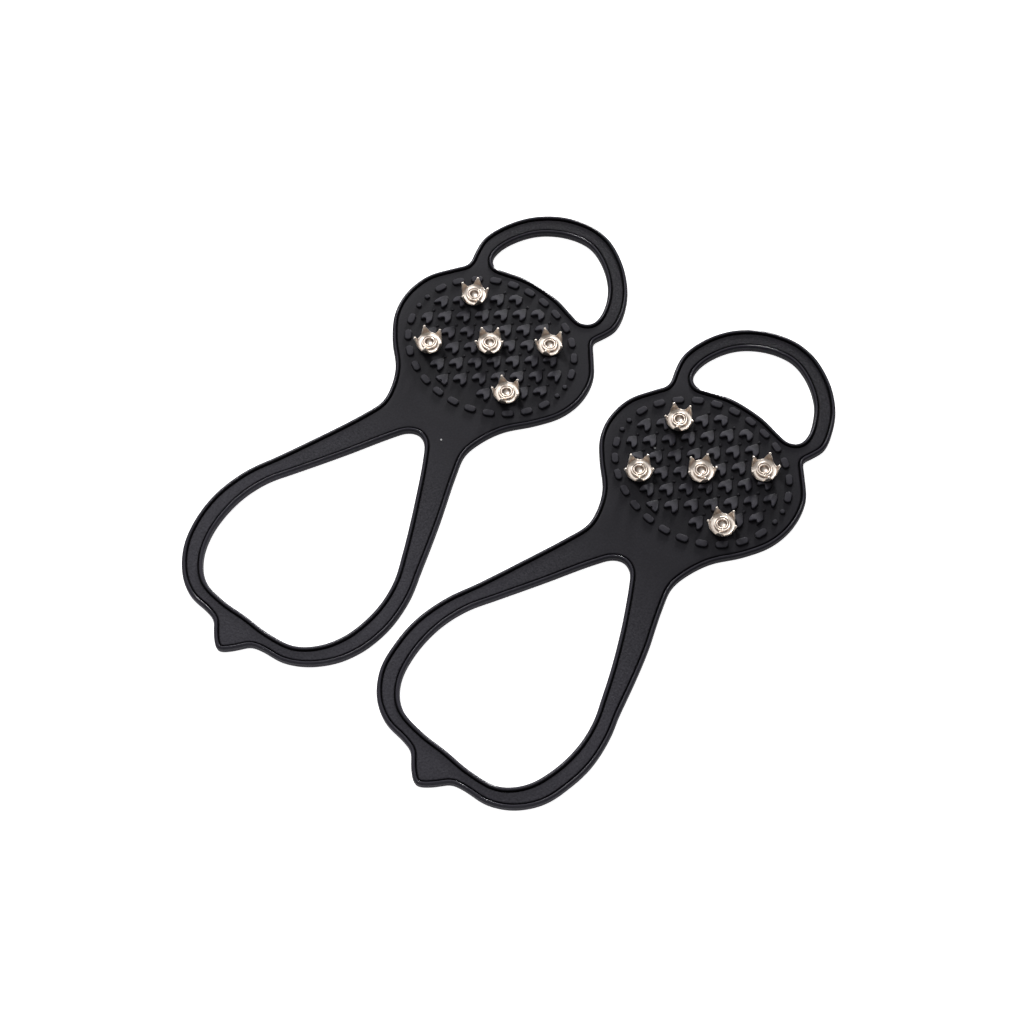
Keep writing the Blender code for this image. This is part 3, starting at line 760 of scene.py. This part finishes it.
def metal_material(name, colour, dark, roughness, scratch):
    """Cloudy plating between two colours, with brown painted shade where the mesh's tone says."""
    made, tree, shader = material(name)
    link = tree.links.new
    coords = tree.nodes.new("ShaderNodeTexCoord")
    cloud = node(tree, "ShaderNodeTexNoise", Scale=260.0, Detail=3.0, Roughness=0.55)
    fine = node(tree, "ShaderNodeTexNoise", Scale=3000.0, Detail=2.0)
    link(coords.outputs["Object"], cloud.inputs["Vector"])
    link(coords.outputs["Object"], fine.inputs["Vector"])
    base = ramp(tree, ((0.32, dark), (0.62, colour)))
    link(cloud.outputs["Fac"], base.inputs["Fac"])
    # Painted shade: brown where the mesh's tone says, in the dimple, the grooves and the teeth's inner faces.
    painted_shade = node(tree, "ShaderNodeAttribute", attribute_name="tone")
    mix = node(tree, "ShaderNodeMix", data_type="RGBA")
    link(painted_shade.outputs["Fac"], mix.inputs["Factor"])
    link(base.outputs["Color"], mix.inputs["A"])
    mix.inputs["B"].default_value = (0.34, 0.23, 0.17, 1)
    link(mix.outputs["Result"], shader.inputs["Base Color"])
    rough = ramp(tree, ((0.3, grey(roughness + 0.06)), (0.7, grey(roughness))))
    link(cloud.outputs["Fac"], rough.inputs["Fac"])
    link(rough.outputs["Color"], shader.inputs["Roughness"])
    bump = node(tree, "ShaderNodeBump", Strength=scratch, Distance=0.00008)
    link(fine.outputs["Fac"], bump.inputs["Height"])
    link(bump.outputs["Normal"], shader.inputs["Normal"])
    shader.inputs["Metallic"].default_value = 1.0
    return made


# ---------------------------------------------------------------------------------------------
# Assembly.

rubber = rubber_material()
crown_metal = metal_material("star plating", (0.79, 0.72, 0.65), (0.71, 0.63, 0.56), 0.46, 0.02)
rivet_metal = metal_material("rivet plating", (0.82, 0.745, 0.675), (0.72, 0.63, 0.55), 0.40, 0.02)
washer_metal = metal_material("washer zinc", (0.62, 0.62, 0.63), (0.45, 0.45, 0.47), 0.38, 0.1)
stud_meshes = {
    "crown": (crown_mesh(), crown_metal, "stud_plating"),
    "rivet": (rivet_mesh(), rivet_metal, "rivet_plating"),
    "washer": (washer_mesh(), washer_metal, "washer_zinc"),
}
for side, cleat in CLEATS.items():
    places = moulding(side, cleat, rubber)
    for place, (x, y) in zip(STUD_GRID, places):
        for kind, (mesh, metal, slot) in stud_meshes.items():
            piece = new_object(f"{side}_{place}_{kind}_finish", mesh, metal)
            piece.location = (x, y, 0)
            yaw = cleat["yaw"][place] if kind == "crown" else RIVET_YAW
            piece.rotation_euler = (0, 0, math.radians(yaw))
            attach(piece, f"{side}_plate")
            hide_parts(f"{side}_stud_{place}_{kind}")

# ---------------------------------------------------------------------------------------------
# Floor, light and camera.

floor_material, tree, shader = material("pale floor")
shader.inputs["Base Color"].default_value = (0.92, 0.92, 0.92, 1)
shader.inputs["Roughness"].default_value = 0.9
shader.inputs["Emission Color"].default_value = (1, 1, 1, 1)
shader.inputs["Emission Strength"].default_value = 0.9
floor_half, floor_z = 4, -0.0002
corners = [(x * floor_half, y * floor_half, floor_z) for x, y in ((-1, -1), (1, -1), (1, 1), (-1, 1))]
floor = bpy.data.meshes.new("floor")
floor.from_pydata(corners, [], [(0, 1, 2, 3)])
new_object("floor", floor, floor_material)

world = bpy.data.worlds.new("studio")
world.use_nodes = True
world.node_tree.nodes["Background"].inputs["Color"].default_value = (1, 1, 1, 1)
world.node_tree.nodes["Background"].inputs["Strength"].default_value = 0.17
bpy.context.scene.world = world


def area_light(name, azimuth, elevation, distance, size, power, aim=(0.0, 0.02, 0.0)):
    """A soft box in the direction given, in degrees from +X anticlockwise, turned to the object."""
    light = bpy.data.lights.new(name, "AREA")
    light.shape = "DISK"
    light.size = size
    light.energy = power
    obj = bpy.data.objects.new(name, light)
    bpy.context.scene.collection.objects.link(obj)
    a, e = math.radians(azimuth), math.radians(elevation)
    way = Vector((math.cos(a) * math.cos(e), math.sin(a) * math.cos(e), math.sin(e)))
    obj.location = Vector(aim) + distance * way
    obj.rotation_euler = way.to_track_quat("Z", "Y").to_euler()


area_light("key", 154, 38, 3.0, 0.98, 56)
area_light("above", 135, 63, 2.2, 2.0, 8.6, aim=(0.0, -0.12, 0.0))
area_light("back", 113, 12, 1.3, 0.26, 17)
area_light("front", 311, 40, 1.5, 1.0, 1.3)


def camera_matrix(azimuth, elevation, distance, target, roll):
    """A camera at distance from target, in degrees, azimuth 0 looking along +Y."""
    a, e, r = (math.radians(v) for v in (azimuth, elevation, roll))
    look = Vector((-math.sin(a) * math.cos(e), math.cos(a) * math.cos(e), -math.sin(e)))
    right = Vector((math.cos(a), math.sin(a), 0))
    up = right.cross(look)
    right, up = math.cos(r) * right + math.sin(r) * up, -math.sin(r) * right + math.cos(r) * up
    turn = Matrix((right, up, -look)).transposed().to_4x4()
    return Matrix.Translation(Vector(target) - distance * look) @ turn


lens = bpy.data.cameras.new("camera")
lens.lens = 71.05
lens.sensor_width = 36
camera = bpy.data.objects.new("camera", lens)
bpy.context.scene.collection.objects.link(camera)
camera.matrix_world = camera_matrix(41.298, 62.274, 0.8262, (0.00303, -0.00792, 0.0), -4.238)
bpy.context.scene.camera = camera
bpy.context.scene.view_settings.view_transform = "Standard"
